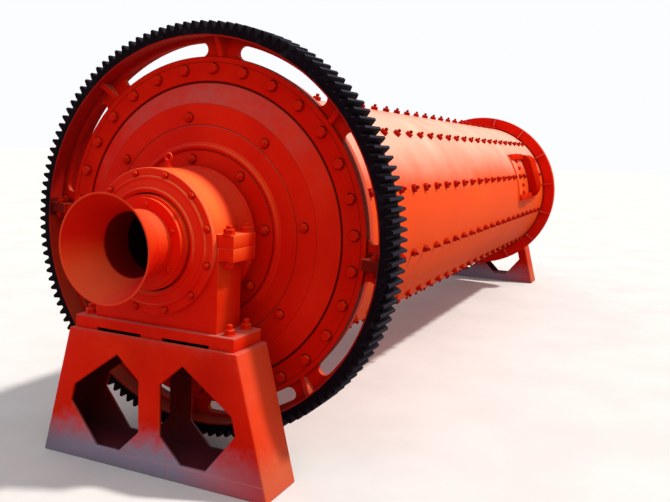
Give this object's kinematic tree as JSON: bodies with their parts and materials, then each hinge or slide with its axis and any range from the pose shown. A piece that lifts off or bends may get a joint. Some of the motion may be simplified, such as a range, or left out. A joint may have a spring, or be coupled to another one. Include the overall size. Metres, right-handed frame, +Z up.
{
  "type": "ball mill",
  "caption": "Horizontal ball mill: long bolted drum on two hollow trunnions in split bearings on cast pedestals, with a large ring gear at one end and flared mouths.",
  "frame": {"origin": "on the ground, under the middle of the mill's length, below the drum axis", "axes": "+X along the drum axis from the ring gear end to the manhole end, +Z up, +Y to the left of a person who looks along +X; the manhole is on the -Y side"},
  "size_m": [7.746, 2.144, 2.222],
  "materials": {
    "drum_enamel": "gloss enamel",
    "end_enamel": "gloss enamel",
    "mouth_enamel": "gloss enamel",
    "bearing_enamel": "gloss enamel",
    "pedestal_enamel": "gloss enamel with dust at the foot",
    "gear": "dark greased teeth, painted web",
    "bush_bronze": "machined"
  },
  "bodies": {
    "stand": {"gear_end_pedestal": "pedestal_enamel", "far_end_pedestal": "pedestal_enamel", "gear_end_sole_plate": "bearing_enamel", "far_end_sole_plate": "bearing_enamel", "gear_end_bearing_base": "bearing_enamel", "far_end_bearing_base": "bearing_enamel", "gear_end_bearing_cap": "bearing_enamel", "far_end_bearing_cap": "bearing_enamel", "gear_end_bush_lower": "bush_bronze", "far_end_bush_lower": "bush_bronze", "gear_end_bush_upper": "bush_bronze", "far_end_bush_upper": "bush_bronze", "gear_end_front_cover": "bearing_enamel", "far_end_front_cover": "bearing_enamel", "gear_end_rear_cover": "bearing_enamel", "far_end_rear_cover": "bearing_enamel", "gear_end_lifting_eye": "bearing_enamel", "far_end_lifting_eye": "bearing_enamel"},
    "rotor": {"drum_shell": "drum_enamel", "gear_end_shell_flange": "end_enamel", "far_end_shell_flange": "end_enamel", "gear_end_cover": "end_enamel", "far_end_cover": "end_enamel", "gear_end_trunnion": "end_enamel", "far_end_trunnion": "end_enamel", "gear_end_mouth": "mouth_enamel", "far_end_mouth": "mouth_enamel", "ring_gear_upper_half": "gear", "ring_gear_lower_half": "gear", "manhole_frame": "drum_enamel", "manhole_door": "drum_enamel", "manhole_upper_clamp": "drum_enamel", "manhole_lower_clamp": "drum_enamel"}
  },
  "joints": [
    {"name": "drum_spin", "type": "hinge", "parent": "stand", "child": "rotor", "pos_m": [0, 0, 1.15], "axis": [1, 0, 0], "continuous": true}
  ]
}
